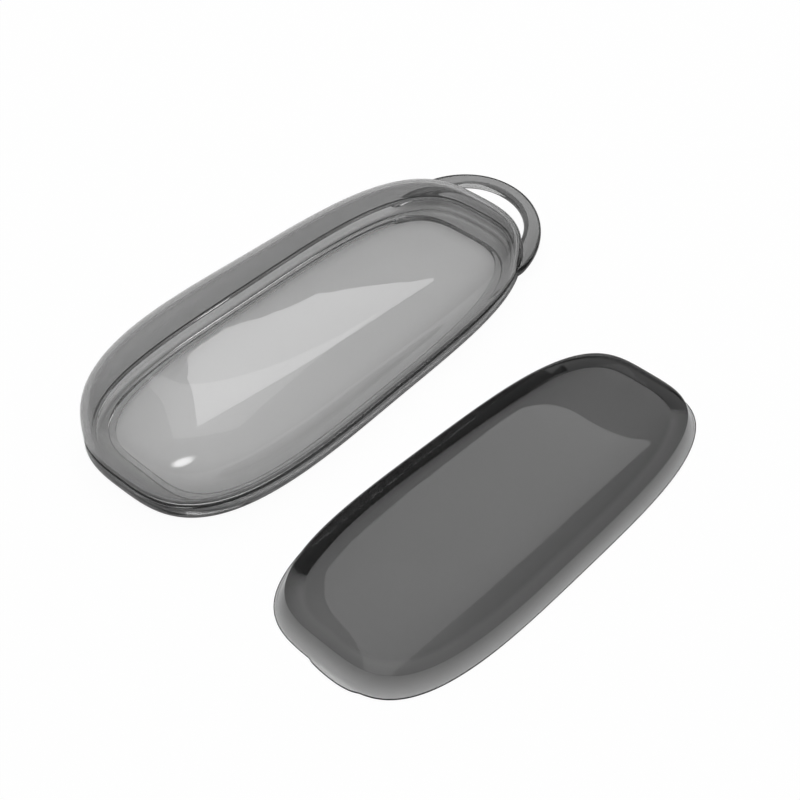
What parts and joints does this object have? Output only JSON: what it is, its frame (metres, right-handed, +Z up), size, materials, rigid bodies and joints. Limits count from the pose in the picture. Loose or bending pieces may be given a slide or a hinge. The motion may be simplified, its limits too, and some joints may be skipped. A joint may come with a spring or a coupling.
{
  "type": "key fob cover",
  "caption": "Pebble-shaped protective cover for a car key fob: a domed clear shell on a frame with a rounded key loop, and the back cover taken off beside it.",
  "frame": {"origin": "centre of the whole box on the table that the pieces lie on", "axes": "+X runs along the case towards its key loop, +Z is up from the table, and +Y points from the loose back cover to the case"},
  "size_m": [0.101, 0.0834, 0.0164],
  "materials": {
    "shell_smoke": "clear smoke-grey moulding, polished, no texture",
    "frame_smoke": "the same clear smoke-grey moulding, polished, thicker section",
    "cover_smoke": "darker smoke-grey moulding, polished, lets less light through"
  },
  "bodies": {
    "case": {"loop_frame": "frame_smoke"},
    "front": {"front_shell": "shell_smoke"},
    "back": {"back_cover": "cover_smoke"}
  },
  "joints": [
    {"name": "front_shell_lift", "type": "slide", "parent": "case", "child": "front", "axis": [0, 0, 1], "range_m": [0, 0.015]},
    {"name": "back_cover_lift", "type": "slide", "parent": "case", "child": "back", "axis": [0, 0, 1], "range_m": [0, 0.015]}
  ]
}
